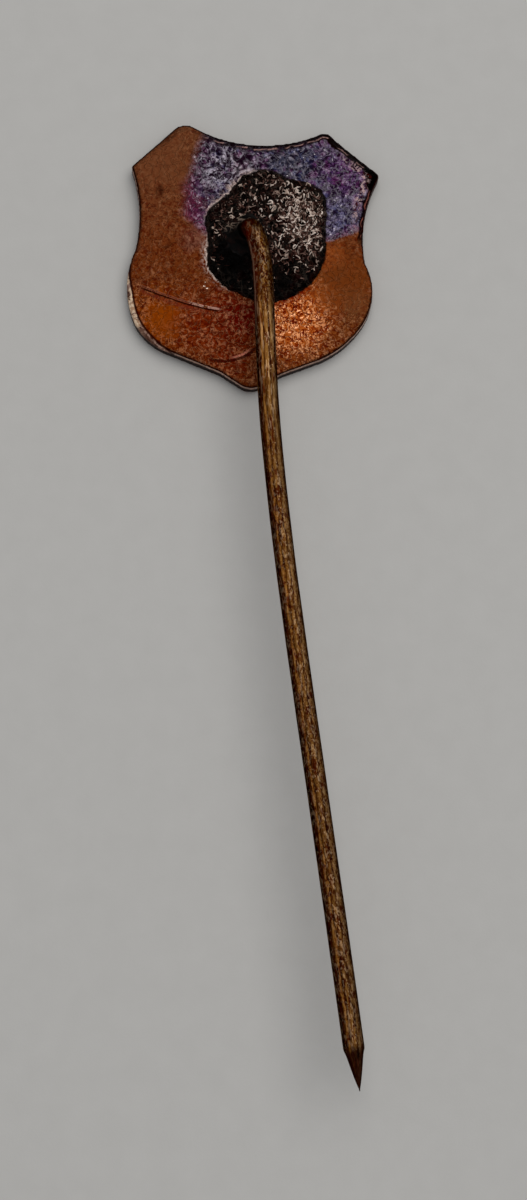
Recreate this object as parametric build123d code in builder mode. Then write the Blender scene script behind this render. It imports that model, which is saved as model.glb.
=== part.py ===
"""Shield-shaped enamel stick pin, lying on its enamelled front.

Millimetres. The origin is the centre of the front face, which lies on z = 0. +Z points out of the
bare copper back, -Y runs down the needle, and +X is to the right as seen from behind.
"""
import os

from build123d import *

# Copper plate: a thin shield with a raised rim, cross and boss on its front
PLATE_T = 0.7
RIM_W = 0.7
CROSS_W = 0.55
CROSS_L = 16
BOSS_R = 1.35
CELL_DEPTH = 0.4

# Outline of the plate, sawn by hand, so its two sides differ a little.
# A horn is an arc through three points. A side runs from its corner through the waist,
# the belly and the haunch, three arcs of which each starts where the last one ends.
TOP_DIP = (0.04, 5.63)
LEFT_HORN = [(-2.78, 6.38), (-3.34, 6.53), (-3.92, 6.22)]
RIGHT_HORN = [(2.95, 6.22), (3.36, 6.34), (3.77, 6.07)]
LEFT_CORNER = (-5.8, 4.32)
LEFT_SIDE = [(-5.37, 2.1), (-5.5, 0.15), (-5.85, -1.75), (-5.42, -3.55), (-4.85, -4.28), (-4, -4.81)]
LEFT_SHOULDER = (-1.42, -5.83)
RIGHT_CORNER = (5.97, 4.25)
RIGHT_SIDE = [(5.18, 1.3), (5.27, -0.2), (5.63, -1.95), (5.12, -3.4), (4.4, -4.27), (3.2, -5.1)]
RIGHT_SHOULDER = (1.4, -5.84)
TIP = [(-0.5, -6.43), (0.0, -6.58), (0.55, -6.38)]
LEFT_CORNER_R = 0.12
RIGHT_CORNER_R = 0.25

# Enamel: one fired fill in each quarter of the shield, a little below the rim
ENAMEL_RECESS = 0.06
ENAMEL_NAMES = ["enamel_blue_base", "enamel_white_base", "enamel_white_top", "enamel_blue_top"]

# Brass needle, from its foot on the back face, over the arch and down to the point
NEEDLE_R = 0.475
NEEDLE_ROUTE = [
    (-0.42, 0.98, 0.4),
    (-0.06, 0.84, 2.7),
    (0.4, -0.95, 2.5),
    (0.6, -5.2, 2.46),
    (0.76, -8.4, 2.5),
    (1.58, -15.6, 2.6),
    (2.98, -24.9, 2.7),
    (4.8, -37.1, 2.85),
]
NEEDLE_BENDS = [0.95, 3, 20, 12, 60, 90]
POINT_END = (5.04, -38.88, 2.87)
POINT_R = 0.03

# Solder fillet round the needle's foot, and the burnt flux crust round the solder
SOLDER_AT = (-0.32, 0.93)
SOLDER_R = 1.35
SOLDER_TOP_R = 0.65
SOLDER_H = 0.75
SOLDER_EDGE_H = 0.12
SOLDER_SAG = 0.15
CRUST_T = 0.34
CRUST_OUTLINE = [
    (-2.2, 1.4), (-2.05, 2.25), (-1.3, 2.95), (-0.8, 3.6), (0.2, 4.25), (0.95, 4.25), (1.65, 3.85),
    (2.65, 3.7), (3.25, 3.2), (3.38, 1.5), (3.4, 0.1), (2.98, -0.97), (2.05, -1.87), (0.9, -2.3),
    (-0.4, -2.05), (-1.35, -1.5), (-2.05, -0.6),
]


def save(builder, name):
    """Label a finished piece and write it to its own file."""
    builder.part.label = name
    export_step(builder.part, f"parts/{name}.step")


def draw_side(horn_end, corner, side, shoulder, tip_end):
    """Draw one side of the outline, from the end of its horn to the start of the tip."""
    waist, flank, belly, hip, haunch, foot = side
    Line(horn_end, corner)
    ThreePointArc(corner, waist, flank)
    ThreePointArc(flank, belly, hip)
    ThreePointArc(hip, haunch, foot)
    Polyline(foot, shoulder, tip_end)


os.makedirs("parts", exist_ok=True)

with BuildSketch() as outline:
    with BuildLine():
        ThreePointArc(LEFT_HORN[0], TOP_DIP, RIGHT_HORN[0])
        ThreePointArc(*LEFT_HORN)
        ThreePointArc(*RIGHT_HORN)
        draw_side(LEFT_HORN[-1], LEFT_CORNER, LEFT_SIDE, LEFT_SHOULDER, TIP[0])
        draw_side(RIGHT_HORN[-1], RIGHT_CORNER, RIGHT_SIDE, RIGHT_SHOULDER, TIP[-1])
        ThreePointArc(*TIP)
    make_face()
    fillet(outline.vertices().sort_by_distance(RIGHT_CORNER)[0], RIGHT_CORNER_R)
    fillet(outline.vertices().sort_by_distance(LEFT_CORNER)[0], LEFT_CORNER_R)

with BuildSketch() as cells:
    offset(outline.sketch, amount=-RIM_W)
    Rectangle(CROSS_W, CROSS_L, mode=Mode.SUBTRACT)
    Rectangle(CROSS_L, CROSS_W, mode=Mode.SUBTRACT)
    Circle(BOSS_R, mode=Mode.SUBTRACT)

with BuildPart() as shield_plate:
    with BuildSketch():
        add(outline.sketch)
    extrude(amount=PLATE_T)
    with BuildSketch():
        add(cells.sketch)
    extrude(amount=CELL_DEPTH, mode=Mode.SUBTRACT)
save(shield_plate, "shield_plate")

for name, cell in zip(ENAMEL_NAMES, cells.faces().sort_by(Axis((0, 0, 0), (1, 4, 0)))):
    with BuildPart() as enamel:
        with BuildSketch(Plane.XY.offset(ENAMEL_RECESS)):
            add(cell)
        extrude(amount=CELL_DEPTH - ENAMEL_RECESS)
    save(enamel, name)

with BuildPart() as needle:
    with BuildLine() as route:
        FilletPolyline(*NEEDLE_ROUTE, radius=NEEDLE_BENDS)
    with BuildSketch(Plane(origin=route.wire() @ 0, z_dir=route.wire() % 0)):
        Circle(NEEDLE_R)
    sweep()
    split(bisect_by=Plane.XY.offset(PLATE_T), keep=Keep.TOP)
    shaft_end = needle.faces().sort_by(Axis.Y)[0]
    with BuildSketch(Plane(origin=POINT_END, z_dir=shaft_end.normal_at())):
        Circle(POINT_R)
    loft([shaft_end, needle.pending_faces[0]])
save(needle, "needle")

solder_foot = (*SOLDER_AT, PLATE_T)
with BuildPart() as solder_joint:
    with BuildSketch(Plane(solder_foot, x_dir=(1, 0, 0), z_dir=(0, -1, 0))):
        with BuildLine():
            Polyline((0, SOLDER_H), (0, 0), (SOLDER_R, 0), (SOLDER_R, SOLDER_EDGE_H))
            SagittaArc((SOLDER_R, SOLDER_EDGE_H), (SOLDER_TOP_R, SOLDER_H), SOLDER_SAG)
            Line((SOLDER_TOP_R, SOLDER_H), (0, SOLDER_H))
        make_face()
    revolve(axis=Axis(solder_foot, (0, 0, 1)))
    add(needle.part, mode=Mode.SUBTRACT)
save(solder_joint, "solder_joint")

with BuildPart() as flux_crust:
    with BuildSketch(Plane.XY.offset(PLATE_T)):
        with BuildLine():
            Spline(*CRUST_OUTLINE, periodic=True)
        make_face()
    extrude(amount=CRUST_T)
    with BuildSketch(Plane.XY.offset(PLATE_T)):
        with Locations(SOLDER_AT):
            Circle(SOLDER_R)
    extrude(amount=CRUST_T, mode=Mode.SUBTRACT)
save(flux_crust, "flux_crust")
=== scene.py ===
"""Looks of the shield stick pin: tinted copper back, burnt flux, brass needle, enamelled front.

Meshes are shaped in millimetres in the part's frame and written to Blender in metres.
"""
import math

import bmesh
import bpy
import numpy as np
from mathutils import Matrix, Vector, noise


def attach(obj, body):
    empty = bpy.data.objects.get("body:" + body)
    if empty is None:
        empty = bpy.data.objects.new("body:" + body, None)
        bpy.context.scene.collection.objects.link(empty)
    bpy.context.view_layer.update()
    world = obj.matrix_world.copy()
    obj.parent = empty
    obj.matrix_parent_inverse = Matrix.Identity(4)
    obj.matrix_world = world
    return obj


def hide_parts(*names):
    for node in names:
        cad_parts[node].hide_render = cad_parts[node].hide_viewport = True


MM = 0.001

# Sizes and places in millimetres, in the part's frame
PLATE_T = 0.7
HALF_WIDTH = 6  # of the shield
RECESS = 0.06  # from the front face to the enamel
CRUST_AT = np.array((0.6, 1.0))
CRUST_TOP = PLATE_T + 0.34
SOLDER_AT = np.array((-0.32, 0.93))
SOLDER_R = 1.32
SOLDER_HOLE_R = 1.45  # no point of the crust's outer edge is as near the solder as this
SKIRT = 0.12  # how far a heap's edge reaches down
WIRE_R = 0.475
TAPER = 1.8  # length of the filed point
WIRE_LINE = [
    (-0.41, 0.975, 0.6), (-0.33, 0.95, 1.2), (-0.24, 0.91, 1.7), (-0.14, 0.74, 2.22), (0.0, 0.38, 2.54),
    (0.18, -0.15, 2.6), (0.34, -0.85, 2.52), (0.45, -2.0, 2.49), (0.53, -3.6, 2.47), (0.61, -5.3, 2.46),
    (0.77, -8.2, 2.5), (1.14, -11.8, 2.55), (1.62, -15.6, 2.6), (2.28, -20.2, 2.65), (2.98, -24.9, 2.7),
    (3.88, -30.9, 2.77), (4.79, -37.1, 2.85), (5.04, -38.86, 2.87),
]

# Fineness of the meshes
PLATE_VOXEL = 0.07
GLASS_VOXEL = 0.1
THREAD_STEP = 0.045
THREAD_SIDES = 5
THREADS = 1650
WIRE_STEP = 0.11
WIRE_SPOKES = 28

# How bright this scene's light makes a white metal and a white matte surface
METAL_LIGHT = 0.95
MATTE_LIGHT = 0.56

# Floor, light and camera, in metres and degrees
FLOOR_REACH = 4
KEY_AT = (0.12, 0.15, 0.42)
KEY_AIM = (0, -0.01, 0)
KEY_SIZE = 0.56
KEY_POWER = 1.15
SKY = (0.95, 0.97, 1.0, 1.0)
SKY_POWER = 0.3
CAMERA_AT = (-0.0040, -0.04777, 0.1174)
CAMERA_TURN = (14.836, -2.529, 0.786)
LENS = 79.84


def paint(red, green, blue, light=METAL_LIGHT):
    """A surface colour from the screen colour that it shows under this scene's light."""
    return tuple(min((level / 255) ** 2.2 / light, 1.0) for level in (red, green, blue))


def matte(red, green, blue):
    """The same for a surface that isn't metal."""
    return paint(red, green, blue, MATTE_LIGHT)


# ---------------------------------------------------------------- node graphs


class Value:
    """A shader socket that takes part in arithmetic."""

    def __init__(self, graph, socket):
        self.graph = graph
        self.socket = socket

    def math(self, operation, *others):
        node = self.graph.tree.nodes.new("ShaderNodeMath")
        node.operation = operation
        for slot, item in zip(node.inputs, (self, *others)):
            self.graph.feed(slot, item)
        return Value(self.graph, node.outputs[0])

    def __add__(self, other):
        return self.math("ADD", other)

    def __sub__(self, other):
        return self.math("SUBTRACT", other)

    def __mul__(self, other):
        return self.math("MULTIPLY", other)

    def __truediv__(self, other):
        return self.math("DIVIDE", other)

    def __neg__(self):
        return self.math("MULTIPLY", -1.0)

    def abs(self):
        return self.math("ABSOLUTE")

    def sqrt(self):
        return self.math("SQRT")

    def least(self, other):
        return self.math("MINIMUM", other)

    def most(self, other):
        return self.math("MAXIMUM", other)

    def inverse(self):
        """One minus the value."""
        return self.math("MULTIPLY_ADD", -1.0, 1.0)

    def step(self, low, high):
        """Rise smoothly from 0 at low to 1 at high, or fall if low is the larger."""
        node = self.graph.tree.nodes.new("ShaderNodeMapRange")
        node.interpolation_type = "SMOOTHSTEP"
        turned = low > high
        node.inputs["From Min"].default_value = min(low, high)
        node.inputs["From Max"].default_value = max(low, high)
        node.inputs["To Min"].default_value = 1.0 if turned else 0.0
        node.inputs["To Max"].default_value = 0.0 if turned else 1.0
        self.graph.feed(node.inputs["Value"], self)
        return Value(self.graph, node.outputs["Result"])

    def near(self, level, reach, core):
        """1 where the value is within core of a level, falling to 0 beyond reach."""
        return (self - level).abs().step(reach, core)

    def ramp(self, *stops):
        """Look a colour up along (place, colour) stops."""
        node = self.graph.tree.nodes.new("ShaderNodeValToRGB")
        points = node.color_ramp.elements
        while len(points) < len(stops):
            points.new(0.5)
        for point, (place, shade) in zip(points, stops):
            point.position = place
            point.color = (*shade, 1.0)
        self.graph.feed(node.inputs[0], self)
        return Value(self.graph, node.outputs[0])


class Graph:
    """A material's node tree, written as arithmetic on coordinates in millimetres."""

    def __init__(self, name):
        self.material = bpy.data.materials.new(name)
        self.material.use_nodes = True
        self.tree = self.material.node_tree
        self.shader = self.tree.nodes["Principled BSDF"]
        self.place = self.scaled(1000.0)

    def feed(self, slot, item):
        if isinstance(item, Value):
            self.tree.links.new(item.socket, slot)
        else:
            slot.default_value = item

    def scaled(self, scale, attribute=None):
        """Object coordinates, or an attribute's, times a scale."""
        if attribute:
            source = self.tree.nodes.new("ShaderNodeAttribute")
            source.attribute_name = attribute
            out = source.outputs["Vector"]
        else:
            out = self.tree.nodes.new("ShaderNodeTexCoord").outputs["Object"]
        node = self.tree.nodes.new("ShaderNodeMapping")
        node.inputs["Scale"].default_value = scale if isinstance(scale, tuple) else (scale,) * 3
        self.tree.links.new(out, node.inputs["Vector"])
        return Value(self, node.outputs[0])

    def axes(self):
        node = self.tree.nodes.new("ShaderNodeSeparateXYZ")
        self.feed(node.inputs[0], self.place)
        return [Value(self, out) for out in node.outputs]

    def attribute(self, name):
        node = self.tree.nodes.new("ShaderNodeAttribute")
        node.attribute_name = name
        return Value(self, node.outputs["Fac"])

    def noise(self, scale, detail=3.0, rough=0.55, swirl=0.0, shift=0.0, where=None):
        """Noise from 0 to 1, with scale in features per millimetre."""
        node = self.tree.nodes.new("ShaderNodeTexNoise")
        node.noise_dimensions = "4D"
        node.inputs["W"].default_value = shift
        node.inputs["Scale"].default_value = scale
        node.inputs["Detail"].default_value = detail
        node.inputs["Roughness"].default_value = rough
        node.inputs["Distortion"].default_value = swirl
        self.feed(node.inputs["Vector"], where or self.place)
        return Value(self, node.outputs[0])

    def cells(self, scale, feature="F1", where=None):
        node = self.tree.nodes.new("ShaderNodeTexVoronoi")
        node.feature = feature
        node.inputs["Scale"].default_value = scale
        self.feed(node.inputs["Vector"], where or self.place)
        return Value(self, node.outputs["Distance"])

    def worms(self, scale, width, shift=0.0, swirl=0.6):
        """Thin winding lines, 1 on the line and 0 between."""
        field = self.noise(scale, 1.5, 0.5, swirl, shift)
        return field.near(0.5, width, width * 0.25)

    def dim(self, colour, amount):
        """A colour times an amount."""
        return self.mix(1.0, colour, amount, "MULTIPLY")

    def spot(self, x, y, at, size, blur=0.6):
        """A round patch: 1 inside, falling to 0 beyond its size."""
        away = ((x - at[0]) * (x - at[0]) + (y - at[1]) * (y - at[1])).sqrt()
        return away.step(size * (1 + blur), size * (1 - blur))

    def patches(self, shade, x, y, *spots):
        """Blend round patches into a shade, each given as place, size, amount and colour."""
        for at, size, amount, colour in spots:
            shade = self.mix(self.spot(x, y, at, size) * amount, shade, colour)
        return shade

    def mix(self, amount, low, high, blend="MIX"):
        node = self.tree.nodes.new("ShaderNodeMix")
        node.data_type = "RGBA"
        node.blend_type = blend
        self.feed(node.inputs[0], amount)
        for slot, item in ((node.inputs[6], low), (node.inputs[7], high)):
            self.feed(slot, item if isinstance(item, Value) else (*item, 1.0))
        return Value(self, node.outputs[2])

    def finish(self, colour, rough, height, depth, metallic, **constants):
        """Wire the shader. Depth is the relief's height in millimetres."""
        self.feed(self.shader.inputs["Base Color"], colour)
        self.feed(self.shader.inputs["Roughness"], rough)
        self.feed(self.shader.inputs["Metallic"], metallic)
        for name, amount in constants.items():
            self.shader.inputs[name.replace("_", " ")].default_value = amount
        bump = self.tree.nodes.new("ShaderNodeBump")
        bump.inputs["Distance"].default_value = depth * MM
        self.feed(bump.inputs["Height"], height)
        self.tree.links.new(bump.outputs[0], self.shader.inputs["Normal"])
        return self.material


# --------------------------------------------------------------------- meshes


def points_of(mesh):
    """A mesh's vertices as an array."""
    flat = np.empty(len(mesh.vertices) * 3)
    mesh.vertices.foreach_get("co", flat)
    return flat.reshape(-1, 3)


def set_points(mesh, points):
    mesh.vertices.foreach_set("co", points.astype(np.float32).ravel())
    mesh.update()


def link(name, data):
    """A new object in the scene."""
    thing = bpy.data.objects.new(name, data)
    bpy.context.scene.collection.objects.link(thing)
    return thing


def applied(thing):
    """An object's mesh as its modifiers or bevel shape it."""
    depsgraph = bpy.context.evaluated_depsgraph_get()
    return bpy.data.meshes.new_from_object(thing.evaluated_get(depsgraph))


def copy_of(node, name, voxel):
    """A CAD node's shape as a fine, even mesh in millimetres."""
    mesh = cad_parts[node].data.copy()
    mesh.name = name
    mesh.materials.clear()
    set_points(mesh, points_of(mesh) / MM)
    piece = link(name, mesh)
    work = bmesh.new()
    work.from_mesh(mesh)
    bmesh.ops.remove_doubles(work, verts=work.verts, dist=1e-4)
    work.to_mesh(mesh)
    work.free()
    remesh = piece.modifiers.new("remesh", "REMESH")
    remesh.mode = "VOXEL"
    remesh.voxel_size = voxel
    smooth = piece.modifiers.new("smooth", "SMOOTH")
    smooth.factor = 0.5
    smooth.iterations = 2
    shaped = applied(piece)
    piece.modifiers.clear()
    piece.data = shaped
    shaped.name = name
    return piece


def new_piece(name, points, faces):
    """A piece from vertices in millimetres and faces."""
    mesh = bpy.data.meshes.new(name)
    mesh.from_pydata([tuple(p) for p in points], [], faces)
    return link(name, mesh)


def ring_faces(first, rings, spokes):
    """Faces between successive rings of points, from the first ring's first vertex."""
    faces = []
    for ring in range(rings):
        low = first + ring * spokes
        for k in range(spokes):
            after = (k + 1) % spokes
            faces.append((low + k, low + spokes + k, low + spokes + after, low + after))
    return faces


def add_attribute(piece, name, values):
    layer = piece.data.attributes.new(name, "FLOAT", "POINT")
    layer.data.foreach_set("value", np.asarray(values, np.float32))


def rumple(points, scale, shift=0.0):
    """Smooth noise from -1 to 1 at each point, with scale in features per millimetre."""
    move = Vector((shift, -shift, 0.5 * shift))
    return np.array([noise.noise(Vector(p) * scale + move) for p in points])


def hump(values, middle, width):
    """1 at the middle, falling away smoothly over a width."""
    return np.exp(-((values - middle) / width) ** 2)


def smooth(rise):
    """Smoothstep of a 0 to 1 rise, held at both ends."""
    rise = np.clip(rise, 0, 1)
    return rise * rise * (3 - 2 * rise)


def rim_of(node, height):
    """The closed outline of a CAD node's flat top at a height, as dense points in millimetres."""
    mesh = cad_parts[node].data
    points = points_of(mesh) / MM
    count = {}
    for face in mesh.polygons:
        if all(abs(points[v][2] - height) < 1e-3 for v in face.vertices):
            for edge in face.edge_keys:
                count[edge] = count.get(edge, 0) + 1
    dense = []
    for (a, b), uses in count.items():
        if uses == 1:
            steps = max(2, int(np.linalg.norm(points[a] - points[b]) / 0.04))
            for t in np.linspace(0, 1, steps, endpoint=False):
                dense.append(points[a][:2] * (1 - t) + points[b][:2] * t)
    return np.array(dense)


def distance_to(outline, points):
    """Distance across the plate from each point to an outline."""
    away = np.empty(len(points))
    for start in range(0, len(points), 4000):
        block = points[start:start + 4000, None, :2] - outline[None]
        away[start:start + 4000] = np.sqrt((block ** 2).sum(2).min(1))
    return away


def settle(piece, material, nodes):
    """Bring a finished piece to metres and tie it to the frame."""
    set_points(piece.data, points_of(piece.data) * MM)
    for face in piece.data.polygons:
        face.use_smooth = True
    piece.data.materials.clear()
    piece.data.materials.append(material)
    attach(piece, "root")
    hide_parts(*nodes)


def reach(points, centre, corners):
    """How far a star-shaped outline reaches from its centre in the direction of each point."""
    ray = corners - centre
    turn = np.arctan2(ray[:, 1], ray[:, 0])
    order = np.argsort(turn)
    away = np.hypot(*ray.T)[order]
    across = points[:, :2] - centre
    return np.interp(np.arctan2(across[:, 1], across[:, 0]), turn[order], away, period=2 * math.pi)


def mound(name, centre, radius_at, rings, spokes, height_at):
    """A round heap on the plate: rings of points whose height is a function of place and share."""
    turns = np.linspace(0, 2 * math.pi, spokes, endpoint=False)
    ways = np.column_stack((np.cos(turns), np.sin(turns)))
    radii = radius_at(centre + ways)
    points = [(*centre, 0)]
    shares = [0.0]
    for ring in range(1, rings + 1):
        share = ring / rings
        for way, radius in zip(ways, radii):
            points.append((*(centre + way * radius * share), 0))
            shares.append(share)
    points = np.array(points)
    shares = np.array(shares)
    points[:, 2] = height_at(points, shares)
    skirt = points[-spokes:] - (0, 0, SKIRT)
    points = np.vstack((points, skirt))
    faces = [(0, 1 + k, 1 + (k + 1) % spokes) for k in range(spokes)]
    faces.extend(ring_faces(1, rings, spokes))
    faces.append(tuple(len(points) - 1 - k for k in range(spokes)))
    return new_piece(name, points, faces), np.append(shares, np.ones(spokes))


# ---------------------------------------------------------------------- scene

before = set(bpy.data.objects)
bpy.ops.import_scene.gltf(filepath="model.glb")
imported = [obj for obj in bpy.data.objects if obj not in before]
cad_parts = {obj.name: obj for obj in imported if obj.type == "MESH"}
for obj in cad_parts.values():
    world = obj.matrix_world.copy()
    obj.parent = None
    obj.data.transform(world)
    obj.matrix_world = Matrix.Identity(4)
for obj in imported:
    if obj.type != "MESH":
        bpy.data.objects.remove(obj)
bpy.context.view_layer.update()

# Copper plate: CAD shape with a hand-filed edge, a rolled-over burr and an uneven back
plate_rim = rim_of("shield_plate", PLATE_T)
crust_rim = rim_of("flux_crust", CRUST_TOP)
crust_rim = crust_rim[np.hypot(*(crust_rim - SOLDER_AT).T) > SOLDER_HOLE_R]

plate = copy_of("shield_plate", "copper_shield", PLATE_VOXEL)
points = points_of(plate.data)
edge = distance_to(plate_rim, points)
back = np.clip((points[:, 2] - 0.3) / (PLATE_T - 0.3), 0, 1)
shoulder = np.exp(-((points[:, 0] - 4.7) ** 2 + (points[:, 1] - 5.1) ** 2) / 1.6)
top = hump(points[:, 1], 6.0, 0.7)
away = np.hypot(*(points[:, :2] - CRUST_AT).T) - reach(points, CRUST_AT, crust_rim)
bevel = 0.23 * smooth((-0.4 - points[:, 1]) / 2.0) * smooth((-3.3 - points[:, 0]) / 1.8) - edge
points[:, 2] -= back * 0.5 * np.maximum(bevel, 0)
points[:, 2] -= back * 0.04 * hump(edge, 0, 0.07)
points[:, 2] -= back * (0.10 * shoulder + 0.04 * top) * hump(edge, 0.06, 0.16)
points[:, 2] += back * (0.05 * shoulder + 0.02 * top) * hump(edge, 0.34, 0.09)
points[:, 2] += back * (0.012 * rumple(points, 0.8) + 0.006 * rumple(points, 3.5, 5.0))
wall = hump(edge, 0, 0.06) * (1 - back * 0.5)
grit = rumple(points * (1, 1, 0.25), 2.6, 9.0) * 0.02 + rumple(points * (1, 1, 2.0), 5.0, 3.0) * 0.012
swell = 0.025 * hump(edge, 0, 0.15) - wall * np.abs(grit)
points[:, :2] *= 1 + swell[:, None] / HALF_WIDTH
set_points(plate.data, points)
add_attribute(plate, "edge", edge)
add_attribute(plate, "crust", away)
add_attribute(plate, "bevel", bevel)
add_attribute(plate, "side", [1 - abs(v.normal.z) for v in plate.data.vertices])

g = Graph("copper")
x, y, z = g.axes()
wave = g.noise(1.1, 3.0, 0.6) - 0.5
drift = g.noise(1.3, 3.0, 0.6, shift=4.0) - 0.5
u = x + wave * 1.3
v = y + drift * 1.3
left = x + wave * 0.7 - ((y - 3.6).most(0.0) * 0.34 + (-y + 1.9).most(0.0) * 1.1 - 3.35)
right = y + drift * 0.5 - (x * 0.383 - 0.58)
tinted = left.step(-0.25, 0.45) * right.step(-0.06, 0.12)

fine = g.noise(4.4, 2.0, 0.65, 1.0)
grain = g.noise(2.6, 3.0, 0.6, 0.6, 2.0)
dust = g.noise(9.0, 2.0, 0.6, 0.0, 5.0)
worm = g.worms(2.6, 0.055, 3.0, 0.8)
worm_b = g.worms(3.9, 0.05, 8.0, 0.6)
bright = fine.step(0.55, 0.65).most(grain.step(0.60, 0.70) * 0.6)
dark = fine.step(0.47, 0.38).most(grain.step(0.45, 0.36))

hot = g.spot(u, v, (1.8, -3.0), 1.75) * (x + wave * 0.5).step(0.25, 0.75)
gold = g.spot(u, v, (-4.1, -3.3), 0.75)
calm = (gold * 0.8).most(g.spot(u, v, (4.4, -1.4), 1.5) * 0.75)
calm = calm.most(g.spot(u, v, (-4.4, 4.6), 1.5) * 0.6).inverse()
low = y.step(-0.4, -2.6)
body = g.mix(y.step(-1.0, 5.0), paint(93, 46, 21), paint(96, 57, 36))
body = g.mix(x.step(0.5, 3.0) * y.step(2.0, -1.0), body, paint(95, 49, 22))
body = g.patches(body, u, v,
                 ((-4.2, -3.2), 1.3, 0.9, paint(120, 56, 8)),
                 ((-1.9, -3.4), 1.6, 0.85, paint(100, 36, 12)),
                 ((-0.5, -3.1), 1.0, 0.95, paint(82, 12, 4)),
                 ((-0.9, -5.1), 0.9, 0.8, paint(88, 28, 8)))
body = g.mix(hot * 0.95, body, paint(150, 76, 30))
body = g.patches(body, u, v,
                 ((3.7, 0.1), 0.6, 0.7, paint(124, 64, 30)),
                 ((5.0, -2.6), 0.8, 0.5, paint(98, 62, 38)),
                 ((-2.7, 0.7), 0.6, 0.7, paint(100, 62, 52)))
body = g.mix(dark * calm * (low * 0.15 + 0.7), body, (0.42, 0.09, 0.01), "MULTIPLY")
# Light copper flecks and pale worm lines: partly the metal's own lighter colour, partly painted sparkle
# highlight
body = g.mix(bright * calm * (hot * 0.50 + low * 0.06 + 0.05), body, (1.0, 0.60, 0.34), "ADD")
body = g.mix(worm * calm * (hot * 0.45 + low * 0.10 + 0.05), body, paint(212, 146, 100))
groove = g.mix(hot, paint(66, 20, 6), paint(86, 22, 2))
body = g.mix(worm_b * calm * (hot * 0.4 + low * 0.35 + 0.35), body, groove)

film = g.patches(paint(68, 57, 77), u, v,
                 ((-2.9, 2.7), 1.1, 1.0, paint(80, 36, 54)),
                 ((1.6, 4.9), 1.6, 1.0, paint(56, 56, 70)),
                 ((4.2, 1.9), 0.9, 1.0, paint(79, 72, 98)),
                 ((4.4, 4.4), 1.2, 0.85, paint(76, 42, 84)),
                 ((-1.4, 4.4), 1.2, 0.9, paint(68, 56, 68)),
                 ((-0.55, 4.45), 0.6, 0.95, paint(142, 130, 134)))
film = g.mix(g.noise(1.7, 2.0, shift=21.0).step(0.50, 0.60) * 0.5, film, paint(58, 62, 98))
film = g.mix(g.noise(1.5, 2.0, shift=23.0).step(0.50, 0.60) * 0.55, film, paint(92, 42, 82))
hem = g.mix(y.step(4.4, 3.2), paint(78, 52, 68), paint(94, 42, 62))
film = g.mix(left.step(1.1, 0.2) * 0.9, film, hem)
soft = g.spot(u, v, (-3.2, 2.5), 1.1).inverse()
film = g.mix(right.step(0.45, 0.05) * 0.7, film, paint(108, 68, 70))
silver = g.spot(u, v, (-1.2, 4.5), 1.25)
speckle = fine.step(0.50, 0.40).most(grain.step(0.49, 0.40)) * (soft * 0.5 + 0.45)
film = g.mix(speckle, film, (0.11, 0.06, 0.12), "MULTIPLY")
# Silvery flecks on the tint: partly the tint's own silvery colour, partly painted highlight
film = g.mix(bright * (silver * 0.10 + 0.13), film, (1.0, 0.88, 1.05), "ADD")
loops = g.noise(1.7, 2.0, 0.55, 1.0, 14.0)
pool = loops.step(0.46, 0.38) * (silver * 0.3 + 0.6) * (soft * 0.7 + 0.3)
film = g.mix(pool, film, (0.14, 0.07, 0.14), "MULTIPLY")
film = g.mix(loops.near(0.49, 0.030, 0.008) * (silver * 0.4 + 0.14), film, paint(176, 166, 178))
film = g.mix(worm * (silver * 0.3 + 0.15) * soft, film, paint(176, 168, 182))
film = g.mix(dust.step(0.60, 0.68) * bright * 0.8, film, paint(214, 206, 214))
film = g.mix(worm_b * 0.5, film, paint(30, 18, 32))
vein = g.worms(0.9, 0.045, 17.0, 1.2) * g.spot(x, y, (-1.6, 4.6), 1.5, 0.4)
film = g.mix(vein * 0.85, film, paint(24, 10, 22))
shade = g.mix(tinted, body, film)

rim = g.attribute("edge") + (g.noise(2.5, 2.0) - 0.5) * 0.08
crust_away = g.attribute("crust") + (g.noise(3.0, 3.0, 0.6, shift=6.0) - 0.5) * 0.4
fringe = g.spot(x, y, (-2.3, -0.6), 1.3) + g.spot(x, y, (-1.6, 3.6), 1.6) * 0.8
haze = crust_away.step(0.46, 0.10) * fringe * fine.step(0.46, 0.56)
shade = g.mix(haze * 0.8, shade, paint(150, 128, 120))
ash = crust_away.step(0.15, 0.08) * fringe * dust.step(0.40, 0.50)
shade = g.mix(ash * 0.9, shade, paint(196, 176, 166))
scorch = crust_away.step(0.50, 0.08) * g.spot(x, y, (1.7, -2.2), 1.1)
shade = g.mix(scorch * 0.7, shade, paint(84, 14, 3))
char = crust_away.step(0.10, 0.0)
shade = g.mix(char * 0.9, shade, paint(18, 9, 8))

# Curved scratch and short nick, each a painted shadow line with a painted highlight along it, stains, and
# painted glints
bend = ((x - 0.73) * (x - 0.73) + (y - 11.6) * (y - 11.6)).sqrt() - 14.59 + wave * 0.12
start = x.step(-5.35, -5.0)
stop = x.step(-1.4, -1.8)
shade = g.mix(bend.near(0.2, 0.16, 0.04) * start * x.step(-1.8, -2.6) * 0.45, shade, paint(98, 42, 32))
# Dark line along the scratch: painted shadow in its groove
shade = g.mix(bend.near(0.05, 0.07, 0.02) * start * stop * 0.85, shade, paint(46, 10, 5))
scratch = bend.near(0, 0.08, 0.02) * start * stop
gleam = bend.near(-0.05, 0.07, 0.02) * grain.step(0.34, 0.46)
shade = g.mix(gleam * start * x.step(-2.9, -3.2) * 0.55, shade, paint(140, 84, 68))
shade = g.mix(gleam * x.step(-3.0, -2.85) * x.step(-1.4, -1.7) * 0.9, shade, paint(196, 152, 136))
round_nick = ((x + 1.41) * (x + 1.41) + (y + 3.13) * (y + 3.13)).sqrt() - 2.2 + drift * 0.15
nick = round_nick.near(0, 0.09, 0.02) * y.step(-4.3, -4.8) * x.step(-2.2, -1.7)
# Dark line of the nick: painted shade in its crease
shade = g.mix(nick * 0.8, shade, paint(48, 8, 4))
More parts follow.
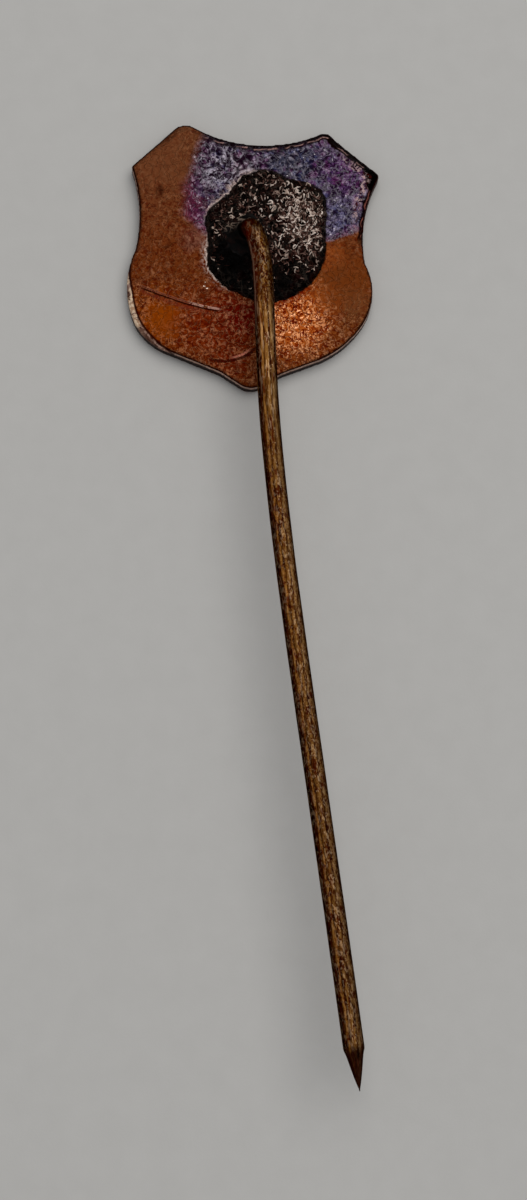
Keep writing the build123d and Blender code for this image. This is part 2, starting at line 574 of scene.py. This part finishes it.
# Pale upper lip of the nick: painted highlight
nick_highlight = round_nick.near(-0.13, 0.08, 0.02) * g.spot(x, y, (-0.5, -4.95), 0.4)
shade = g.mix(nick_highlight * 0.7, shade, paint(178, 110, 92))
stain = g.spot(u, v, (-4.3, 3.2), 0.2, 0.9) + g.spot(u, v, (-4.0, 0.4), 0.12, 0.9) * 0.6
stain = stain + g.spot(u, v, (-2.2, -2.1), 0.3, 0.9) * 0.5
shade = g.mix(stain * 0.8, shade, paint(44, 14, 6))
glint = g.spot(u, v, (-2.22, -1.62), 0.045).most(g.spot(u, v, (-2.08, -1.79), 0.05))
glint = glint.most(g.spot(u, v, (-2.13, -1.37), 0.04) * 0.7)
glint = glint.most(g.spot(u, v, (1.78, -1.95), 0.05)).most(g.spot(x, y, (2.75, -1.08), 0.05))
shade = g.mix(glint, shade, paint(250, 225, 205))

# File-marked rim with a burr at its upper right; its dark outline is dark oxide with painted shade
wobble = rim + (g.noise(1.6, 3.0, 0.6, shift=13.0) - 0.5) * 0.34
burr = g.spot(x, y, (4.7, 5.1), 1.4) + y.step(5.0, 5.45) * x.step(-2.8, -2.0) * 0.85
corner = g.spot(x, y, (5.7, 4.15), 0.6, 0.45)
dash = g.noise(2.0, 2.0, shift=7.0)
lower = y.step(0.6, -0.6)
dots = grain.step(0.40, 0.52)
# Dark outline along the upper half, dotted along the lower right: dark oxide with painted shade at the edge
shade = g.mix(rim.step(0.13, 0.03) * lower.inverse() * 0.9, shade, paint(22, 10, 8))
shade = g.mix(rim.step(0.16, 0.07) * lower * x.step(2.2, 3.4) * dots * 0.85, shade, paint(26, 9, 4))
flank = x.step(3.4, 4.4) * y.step(0.3, 1.2) * y.step(5.4, 4.6)
# Black band on the right flank: dark oxide with painted shade on the rounded edge
shade = g.mix((wobble - 0.10).step(0.14, 0.08) * flank * 0.97, shade, paint(15, 6, 5))
seam = wobble.near(0.11, 0.035, 0.012) * flank * y.step(3.6, 3.2) * dash.step(0.40, 0.50)
shade = g.mix(seam * 0.8, shade, paint(112, 66, 58))
# Dark band on the burr: dark oxide with painted shade
shade = g.mix(wobble.near(0.20, 0.20, 0.10) * burr * 0.95, shade, paint(20, 7, 6))
crease = wobble.near(0.22, 0.05, 0.015) * burr * dash.step(0.44, 0.52)
shade = g.mix(crease * 0.85, shade, paint(158, 122, 116))
# Black outer rim of the burr, then the black outermost edge and corner tip: dark oxide with painted shade
shade = g.mix(rim.step(0.16, 0.08) * burr * 0.95, shade, paint(12, 5, 4))
shade = g.mix((rim - corner * 0.52).step(0.06, -0.02), shade, paint(8, 4, 4))
flecks = wobble.near(0.45, 0.22, 0.08) * g.spot(x, y, (5.1, 3.4), 1.7)
shade = g.mix(flecks * 0.75 * fine.step(0.49, 0.58), shade, paint(166, 138, 136))
shade = g.mix(flecks * 0.7 * fine.step(0.46, 0.40), shade, paint(60, 22, 20))

# Bevel at the lower left, with a pale run along it
bevel = g.attribute("bevel") + wave * 0.05
run = g.worms(1.5, 0.06, 11.0, 0.4).inverse() * bevel.step(0.0, 0.05) * z.step(0.40, 0.48)
cream = run * y.step(-0.9, -1.5) * x.step(-5.0, -5.3) * grain.step(0.36, 0.42)
band = g.mix(grain.step(0.40, 0.56), paint(84, 50, 38), paint(150, 112, 96))
# Pale line along the bevel's crest: painted highlight
crest = (bevel + drift * 0.08).near(0.08, 0.05, 0.015) * fine.step(0.42, 0.52)
band = g.mix(crest, band, paint(212, 172, 154))
shade = g.mix(bevel.step(-0.01, 0.03) * 0.9, shade, band)
shade = g.mix(cream, shade, g.mix(fine.step(0.4, 0.6), matte(150, 116, 90), matte(198, 172, 146)))
ditch = bevel.near(-0.02, 0.07, 0.02) * bevel.step(-0.2, -0.02)
shade = g.mix(ditch * 0.9, shade, paint(44, 10, 4))

# Side wall, then the polished front
side = g.attribute("side").step(0.45, 0.8)
strokes = g.noise(9.0, 3.0, where=g.scaled((1000.0, 1000.0, 160.0)))
lip = z + drift * 0.12
wall = g.mix(strokes.step(0.35, 0.65), (0.30, 0.16, 0.12), (0.78, 0.52, 0.43))
wall = g.mix(grain.step(0.5, 0.62) * 0.6, wall, (0.16, 0.07, 0.05))
# Near-black foot of the wall: dark oxide with painted contact shadow
wall = g.mix(lip.step(0.52, 0.42), wall, (0.022, 0.010, 0.008))
# Near-black upper outer edge and right flank of the wall: painted shade with dark oxide
soot_and_shade = z.step(0.60, 0.66).most(x.step(2.0, 3.4) * 0.95) * lower.inverse()
wall = g.mix(soot_and_shade, wall, (0.03, 0.012, 0.008))
# Pale lip along the lower wall's top: bright file marks with painted highlight
wall = g.mix(lower * lip.step(0.53, 0.58), wall, paint(206, 176, 160))
shade = g.mix(side * bevel.step(0.02, -0.02).most(z.step(0.46, 0.40)), shade, wall)

polish = g.noise(6.0, 4.0, 0.7, where=g.scaled((1000.0, 140.0, 1000.0)))
face = g.mix(polish.step(0.3, 0.75), (0.50, 0.21, 0.10), (0.80, 0.42, 0.25))
face = g.mix(grain.step(0.56, 0.68) * 0.6, face, (0.20, 0.075, 0.04))
face = g.mix(rim.step(0.10, 0.0) * 0.6, face, (0.10, 0.04, 0.025))
front = z.step(0.35, 0.15) * side.inverse()
shade = g.mix(front, shade, face)

rough = (grain * 0.25 + 0.36) - hot * 0.06
rough = rough + side * 0.1 - front * 0.12
relief = fine * (tinted * 0.5 + hot * 0.6 + 0.25) + worm * 0.3 + grain * 0.5 + dust * 0.15
relief = relief - scratch * 0.8 - nick * 0.6 - side * strokes * 0.3
relief = relief * front.inverse() + polish * front * 0.35
settle(plate, g.finish(shade, rough, relief, 0.03, cream.inverse()), ["shield_plate"])

# Burnt flux: a crusted heap with pale, thread-like residue on its upper right


def crust_reach(places):
    spread = reach(places, CRUST_AT, crust_rim)
    lift = np.column_stack((places, np.zeros(len(places))))
    return spread * (1.01 + 0.03 * rumple(lift * 7, 1.0) + 0.03 * rumple(lift * 20, 1.0, 4.0))


def crust_height(places, share):
    bulk = 0.26 + 0.18 * rumple(places, 0.9, 2.0) + 0.22 * rumple(places, 2.1, 7.0)
    bulk = bulk + 0.12 * rumple(places, 4.8)
    bulk += 0.12 * np.abs(rumple(places, 3.2, 12.0)) + 0.05 * rumple(places, 9.0, 1.0)
    lip = 0.05 * hump(share, 0.94, 0.035)
    close = np.exp(-(np.hypot(*(places[:, :2] - SOLDER_AT).T) / 1.25) ** 4)
    body = np.clip((1 - share) / 0.05, 0, 1) ** 0.6
    return PLATE_T - 0.02 + body * np.maximum(bulk * (1 - 0.55 * close) + lip, 0.03)


crust, share = mound("burnt_flux", CRUST_AT, crust_reach, 64, 360, crust_height)


def strands(count, seed):
    """Short winding threads of residue that lie on the crust, densest at its upper right."""
    chance = np.random.default_rng(seed)
    places = []
    faces = []
    tones = []
    made = 0
    while made < count:
        spot = chance.uniform((-2.1, -2.1), (3.3, 4.2))
        pale = math.exp(-((spot[0] - 2.2) ** 2 / 1.5 + (spot[1] - 1.7) ** 2 / 2.4))
        crest = math.exp(-((spot[0] - 0.9) ** 2 / 0.9 + (spot[1] - 2.5) ** 2 / 0.4))
        wanted = 0.30 + 0.5 * pale + 0.1 * crest
        wanted *= 1 - 0.6 * math.exp(-((spot[0] - 0.6) ** 2 / 0.6 + (spot[1] - 1.3) ** 2 / 1.4))
        wanted *= 1 - math.exp(-(((spot[0] + 0.6) / 1.3) ** 4 + ((spot[1] + 0.5) / 1.7) ** 4))
        wanted *= 1 - 0.85 * math.exp(-(((spot[0] - 1.4) / 1.6) ** 4 + ((spot[1] + 1.4) / 1.0) ** 4))
        if chance.random() > wanted:
            continue
        steps = 1 + int(7 * chance.random() ** 1.5)
        heading = chance.uniform(0, 2 * math.pi)
        bend = chance.normal(0, 0.25)
        trail = [spot]
        for _ in range(steps):
            bend = 0.8 * bend + chance.normal(0, 0.3)
            heading += bend
            trail.append(trail[-1] + THREAD_STEP * np.array((math.cos(heading), math.sin(heading))))
        trail = np.column_stack((trail, np.zeros(len(trail))))
        share = np.hypot(*(trail[:, :2] - CRUST_AT).T) / reach(trail, CRUST_AT, crust_rim)
        if share.max() > 0.95:
            continue
        trail[:, 2] = crust_height(trail, share) + 0.012
        tone = chance.random() ** 2.6 * (0.75 + 0.5 * pale + 0.4 * crest) + 0.22 * pale + 0.02
        tones.extend([min(1.0, tone)] * THREAD_SIDES * len(trail))
        thick = chance.uniform(0.014, 0.033) * (1 + 0.35 * min(tone, 1.0))
        thick = thick * np.sin(np.linspace(0.35, math.pi - 0.35, len(trail))) ** 0.5
        way = np.gradient(trail, axis=0)
        way /= np.linalg.norm(way, axis=1)[:, None]
        flank = np.column_stack((-way[:, 1], way[:, 0], np.zeros(len(way))))
        flank /= np.linalg.norm(flank, axis=1)[:, None]
        above = np.cross(way, flank)
        first = len(places)
        for k in range(THREAD_SIDES):
            turn = k * 2 * math.pi / THREAD_SIDES
            ring = trail + thick[:, None] * (math.cos(turn) * flank + math.sin(turn) * above)
            places.extend(ring)
        n = len(trail)
        for k in range(THREAD_SIDES):
            near = first + k * n
            far = first + (k + 1) % THREAD_SIDES * n
            faces.extend((near + j, far + j, far + j + 1, near + j + 1) for j in range(n - 1))
        made += 1
    piece = new_piece("flux_residue", places, faces)
    add_attribute(piece, "tone", tones)
    return piece


residue = strands(THREADS, 7)
g = Graph("flux_residue")
shade = g.attribute("tone").ramp(
    (0.0, matte(12, 3, 2)), (0.12, matte(40, 22, 18)), (0.35, matte(88, 63, 56)), (0.7, matte(160, 142, 130)),
    (1.0, matte(196, 182, 172)))
thread = g.finish(shade, g.noise(4.0) * 0.3 + 0.4, g.noise(9.0), 0.01, 0.0, Specular_IOR_Level=0.05)
settle(residue, thread, [])

g = Graph("burnt_flux")
x, y, _ = g.axes()
wave = g.noise(1.2, 3.0) - 0.5
u = x + wave * 1.2
v = y + wave * 0.9
threads = g.worms(1.9, 0.022, 1.0, 0.6).most(g.worms(2.7, 0.028, 5.0, 0.6))
crumbs = g.noise(4.4, 2.0, 0.65, 0.8).step(0.52, 0.60)
pale = g.spot(u, v, (2.4, 1.9), 0.9, 0.8) + g.spot(u, v, (1.2, 3.4), 0.7, 0.8) * 0.15
pale = pale + g.spot(u, v, (-1.8, 1.8), 0.9, 0.8) * 0.08 + g.spot(u, v, (2.6, 0.4), 0.6, 0.8) * 0.15
pale = pale.least(1.0)
hollow = g.spot(u, v, (-1.1, -0.2), 1.0, 0.5).most(g.spot(u, v, (1.0, -1.4), 0.9, 0.5) * 0.8)
shade = g.mix(g.noise(1.8, 3.0, shift=3.0).step(0.48, 0.68), matte(5, 1, 1), matte(26, 7, 5))
shade = g.mix(crumbs * (pale * 0.20 + 0.03), shade, matte(116, 86, 74))
shade = g.mix(threads * (pale * 0.4 + 0.10), shade, matte(112, 98, 88))
shade = g.mix(hollow * 0.95, shade, matte(5, 1, 1))
rough = threads * 0.3 + (pale * 0.3 + 0.42)
relief = threads * 0.4 + crumbs * 0.5 + g.noise(5.0, 4.0, 0.6)
flux = g.finish(shade, rough, relief, 0.06, 0.0, Specular_IOR_Level=0.04)
settle(crust, flux, ["flux_crust"])

# Solder: a lumpy collar that climbs the needle's foot


def solder_reach(places):
    lift = np.column_stack((places, np.zeros(len(places))))
    return SOLDER_R * (1 + 0.06 * rumple(lift * 3, 1.0, 2.0))


def solder_height(places, share):
    climb = 0.95 * np.exp(-((share * 1.35 / 0.62) ** 2.4))
    lumps = 0.07 * rumple(places, 1.7, 6.0) + 0.03 * rumple(places, 5.0)
    body = np.clip((1 - share) / 0.12, 0, 1)
    return PLATE_T + 0.14 + (climb + lumps + 0.10 * (1 - share)) * body - 0.10 * share ** 4


solder, share = mound("solder_collar", SOLDER_AT, solder_reach, 30, 140, solder_height)
g = Graph("solder")
_, y, _ = g.axes()
soot_and_shade = g.noise(2.4, 4.0, 0.6)
shade = g.mix(soot_and_shade.step(0.45, 0.75), matte(5, 1, 1), matte(30, 16, 12))
shade = g.mix(g.worms(3.0, 0.05, 2.0, 0.6) * y.step(0.9, 1.5) * 0.6, shade, matte(120, 104, 92))
relief = g.noise(5.0, 4.0, 0.6) + soot_and_shade
collar = g.finish(shade, soot_and_shade * 0.3 + 0.28, relief, 0.04, 0.0, Specular_IOR_Level=0.1)
settle(solder, collar, ["solder_joint"])

# Needle: drawn wire along a hand-bent line, filed to a point


def smooth_line(places, spacing):
    """Evenly spaced points on a NURBS line that a list of places controls."""
    curve = bpy.data.curves.new("line", "CURVE")
    curve.dimensions = "3D"
    spline = curve.splines.new("NURBS")
    spline.points.add(len(places) - 1)
    for point, place in zip(spline.points, places):
        point.co = (*place, 1.0)
    spline.order_u = 3
    spline.use_endpoint_u = True
    spline.resolution_u = 40
    holder = link("line", curve)
    line = points_of(applied(holder))
    bpy.data.objects.remove(holder)
    run = np.append(0, np.cumsum(np.linalg.norm(np.diff(line, axis=0), axis=1)))
    along = np.linspace(0, run[-1], int(run[-1] / spacing))
    return along, np.column_stack([np.interp(along, run, line[:, k]) for k in range(3)])


along, line = smooth_line(WIRE_LINE, WIRE_STEP)
ahead = np.gradient(line, axis=0)
ahead /= np.linalg.norm(ahead, axis=1)[:, None]
across = np.array((1.0, 0, 0)) - ahead[:, :1] * ahead
across /= np.linalg.norm(across, axis=1)[:, None]
upward = np.cross(across, ahead)
turns = np.linspace(0, 2 * math.pi, WIRE_SPOKES, endpoint=False)
left_to_go = along[-1] - along
taper = np.clip(left_to_go / TAPER, 0, 1) ** 0.82
facet = np.clip((TAPER - left_to_go) / 0.5, 0, 1)
quarter = math.pi / 2
flat = math.cos(quarter / 2) / np.cos((turns + 0.5) % quarter - quarter / 2)
radius = WIRE_R * np.maximum(taper, 0.06)[:, None] * (1 + facet[:, None] * (flat - 1) * 0.8)
shell = np.cos(turns)[None, :, None] * across[:, None] + np.sin(turns)[None, :, None] * upward[:, None]
points = (line[:, None] + radius[:, :, None] * shell).reshape(-1, 3)
points -= shell.reshape(-1, 3) * (0.008 + 0.008 * rumple(points * (1, 0.3, 1), 1.4))[:, None]
faces = ring_faces(0, len(line) - 1, WIRE_SPOKES)
faces.append(tuple(range(WIRE_SPOKES)))
faces.append(tuple(len(points) - 1 - k for k in range(WIRE_SPOKES)))
wire = new_piece("brass_needle", points, faces)
layer = wire.data.attributes.new("wire", "FLOAT_VECTOR", "POINT")
circle = np.tile(np.column_stack((np.cos(turns), np.sin(turns))), (len(line), 1))
course = np.column_stack((circle, np.repeat(along, WIRE_SPOKES)))
layer.data.foreach_set("vector", course.astype(np.float32).ravel())

g = Graph("brass")
long_place = g.scaled((1.0, 1.0, 0.28), "wire")
short_place = g.scaled((1.0, 1.0, 0.95), "wire")
blotch_place = g.scaled((0.6, 0.6, 0.5), "wire")
split = g.tree.nodes.new("ShaderNodeSeparateXYZ")
g.feed(split.inputs[0], g.scaled(1.0, "wire"))
course = Value(g, split.outputs[2])
sides = Value(g, split.outputs[0])
sway = g.noise(1.0, 2.0, where=g.scaled((0.2, 0.2, 0.25), "wire"), shift=9.0) - 0.5
drawn = course.step(5.0, 6.5) * course.step(16.0, 10.0)
streak = g.noise(2.6, 1.0, 0.6, where=long_place) * drawn
streak = streak + g.noise(2.6, 2.0, 0.6, 0.5, where=short_place) * drawn.inverse()
hair = g.noise(5.0, 2.0, 0.6, where=long_place, shift=3.0) * drawn
hair = hair + g.noise(4.6, 2.0, 0.6, 0.5, where=short_place, shift=3.0) * drawn.inverse()
blotch = g.noise(1.6, 4.0, 0.6, where=blotch_place, shift=1.0)
fleck = g.noise(4.4, 3.0, 0.6, 0.5, where=g.scaled((1.0, 1.0, 0.5), "wire"), shift=6.0)
mottle = g.noise(2.4, 3.0, 0.6, 0.4, where=g.scaled((1.0, 1.0, 1.7), "wire"), shift=8.0)
crumb = g.noise(4.2, 2.0, 0.6, 0.8, where=g.scaled((1.0, 1.0, 1.7), "wire"), shift=15.0)
jitter = g.noise(1.5, 2.0, 0.6, where=g.scaled((1.0, 1.0, 0.9), "wire"), shift=12.0) - 0.5
arch = course.step(6.2, 4.4)
near = course.step(5.0, 6.0) * course.step(10.5, 8.0)

# Long pale lands between dark grooves near the plate, short broken marks beyond, dark flanks. The bands
# across the wire are drawing marks with painted light: the brightest lands are painted highlight and the
# near-black flanks painted shade
spread = (drawn * -0.5 + 0.75) * (sides * sides).inverse()
shade = ((sides + sway * 0.2 + jitter * spread) * 0.5 + 0.5).ramp(
    (0.0, paint(92, 60, 28)), (0.015, paint(78, 46, 18)), (0.03, paint(12, 4, 1)),
    (0.06, paint(34, 8, 1)), (0.11, paint(78, 32, 6)), (0.20, paint(96, 52, 14)),
    (0.27, paint(204, 140, 68)), (0.37, paint(76, 40, 12)), (0.44, paint(104, 70, 34)),
    (0.54, paint(112, 80, 42)), (0.64, paint(52, 26, 8)), (0.77, paint(150, 112, 66)),
    (0.87, paint(98, 66, 36)), (0.94, paint(38, 18, 5)), (0.97, paint(8, 3, 1)),
    (0.985, paint(78, 46, 18)), (1.0, paint(92, 60, 28)))
shade = g.dim(shade, near * 0.30 + course.step(30.0, 16.0) * 0.14 + 0.84)
olive = crumb.step(0.46, 0.53) * sides.step(-0.9, 0.2) * course.step(0.8, 3.2) * 0.95
rust = g.mix(sides.step(0.0, -0.6), paint(54, 17, 4), paint(100, 32, 8))
shade = g.mix(arch * 0.9, shade, g.mix(olive, rust, paint(104, 72, 30)))
groove = streak.step(0.48, 0.40).most(fleck.step(0.46, 0.38) * 0.8)
shade = g.mix(groove * 0.92, shade, (0.30, 0.07, 0.01), "MULTIPLY")
crack = mottle.near(0.5, 0.035, 0.010) * (drawn * -0.6 + 0.8)
shade = g.mix(crack, shade, (0.36, 0.09, 0.02), "MULTIPLY")
shade = g.mix(blotch.step(0.56, 0.66) * 0.35, shade, (0.50, 0.32, 0.22), "MULTIPLY")
sheen = hair.step(0.54, 0.62).most(fleck.step(0.57, 0.65) * 0.8).most(crumb.step(0.62, 0.68))
shade = g.mix(sheen * (near * 0.14 + 0.15), shade, (1.0, 0.70, 0.42), "ADD")
# Pale line down the wire's left edge near the arch: painted edge highlight
left_edge_highlight = sides.near(-0.90, 0.08, 0.03) * course.step(2.4, 3.0) * course.step(7.5, 5.5)
shade = g.mix(left_edge_highlight * 0.8, shade, paint(178, 136, 112))
chip = mottle.step(0.64, 0.70) * course.step(8.5, 6.5) * course.step(2.2, 3.0)
shade = g.mix(chip * 0.8, shade, paint(216, 186, 140))
shade = g.mix(course.step(2.0, 1.2) * 0.97, shade, paint(9, 4, 3))
tip = float(along[-1])
point = course.step(tip - 2.0, tip - 1.5)
shade = g.mix(point * 0.9, shade, g.mix(fleck.step(0.4, 0.6), paint(22, 7, 4), paint(56, 24, 15)))
rough = blotch * 0.25 + 0.33
relief = streak + hair * 0.6 - blotch * 0.3
brass = g.finish(shade, rough, relief, 0.02, 1.0, Specular_Tint=(0.45, 0.35, 0.25, 1.0))
settle(wire, brass, ["needle"])

# Enamel: fired glass in each quarter of the front, drawn up a little at the metal


def enamel_material(name, deep, light, speck):
    g = Graph(name)
    cloud = g.noise(0.9, 3.0, 0.6)
    shade = g.mix(cloud.step(0.3, 0.7), deep, light)
    shade = g.dim(shade, g.noise(5.0, 3.0, 0.7, shift=2.0).step(0.3, 0.7) * 0.22 + 0.86)
    shade = g.mix(g.cells(2.4).step(0.07, 0.03) * 0.8, shade, speck)
    rimmed = g.attribute("edge").step(0.16, 0.02)
    shade = g.mix(rimmed * 0.45, shade, speck)
    peel = g.noise(3.0, 2.0)
    pits = g.cells(1.7).step(0.11, 0.04)
    scuff = g.noise(8.0, 3.0, where=g.scaled((250.0, 1500.0, 1000.0)))
    rough = scuff.step(0.55, 0.75) * 0.14 + 0.08
    return g.finish(shade, rough, peel * 0.4 - pits * 1.5, 0.02, 0.0, Coat_Weight=0.6, Coat_Roughness=0.05)


blue = enamel_material("enamel_blue", (0.010, 0.032, 0.17), (0.022, 0.065, 0.30), (0.006, 0.012, 0.05))
white = enamel_material("enamel_white", (0.66, 0.62, 0.52), (0.80, 0.77, 0.68), (0.30, 0.22, 0.15))
for place in ("blue_top", "white_top", "white_base", "blue_base"):
    node = "enamel_" + place
    glass = copy_of(node, "fired_" + place, GLASS_VOXEL)
    rim = rim_of(node, RECESS)
    points = points_of(glass.data)
    edge = distance_to(rim, points)
    mid = rim.mean(0)
    out = points[:, :2] - mid
    out /= np.linalg.norm(out, axis=1)[:, None]
    skin = np.clip((0.25 - points[:, 2]) / 0.17, 0, 1)
    points[:, :2] += out * (0.05 * hump(edge, 0, 0.12))[:, None]
    points[:, 2] -= skin * (0.05 * np.exp(-edge / 0.14) + 0.004 * rumple(points, 1.3))
    points[:, 2] += skin * 0.012
    set_points(glass.data, points)
    add_attribute(glass, "edge", edge)
    if "blue" in place:
        settle(glass, blue, [node])
    else:
        settle(glass, white, [node])

# Floor, light and camera
floor_mesh = bpy.data.meshes.new("floor")
corners = [(-1, -1), (1, -1), (1, 1), (-1, 1)]
floor_mesh.from_pydata([(a * FLOOR_REACH, b * FLOOR_REACH, 0) for a, b in corners], [], [(0, 1, 2, 3)])
floor = link("floor", floor_mesh)
g = Graph("paper")
tone = g.noise(0.8, 2.0).ramp((0.3, (0.61, 0.60, 0.58)), (0.7, (0.63, 0.62, 0.60)))
floor_mesh.materials.append(g.finish(tone, 0.9, g.noise(8.0), 0.004, 0.0))


def area_light(name, place, aim, size, power, colour):
    light = bpy.data.lights.new(name, "AREA")
    light.shape = "DISK"
    light.size = size
    light.energy = power
    light.color = colour
    lamp = link(name, light)
    lamp.location = place
    lamp.rotation_euler = (Vector(aim) - Vector(place)).to_track_quat("-Z", "Y").to_euler()


area_light("key", KEY_AT, KEY_AIM, KEY_SIZE, KEY_POWER, (1.0, 0.98, 0.95))

world = bpy.data.worlds.new("studio")
world.use_nodes = True
world.node_tree.nodes["Background"].inputs["Color"].default_value = SKY
world.node_tree.nodes["Background"].inputs["Strength"].default_value = SKY_POWER
bpy.context.scene.world = world
bpy.context.scene.view_settings.view_transform = "Standard"

lens = bpy.data.cameras.new("camera")
lens.lens = LENS
lens.sensor_width = 36.0
lens.clip_start = 0.005
lens.clip_end = 10.0
camera = link("camera", lens)
camera.location = CAMERA_AT
camera.rotation_euler = [math.radians(angle) for angle in CAMERA_TURN]
bpy.context.scene.camera = camera
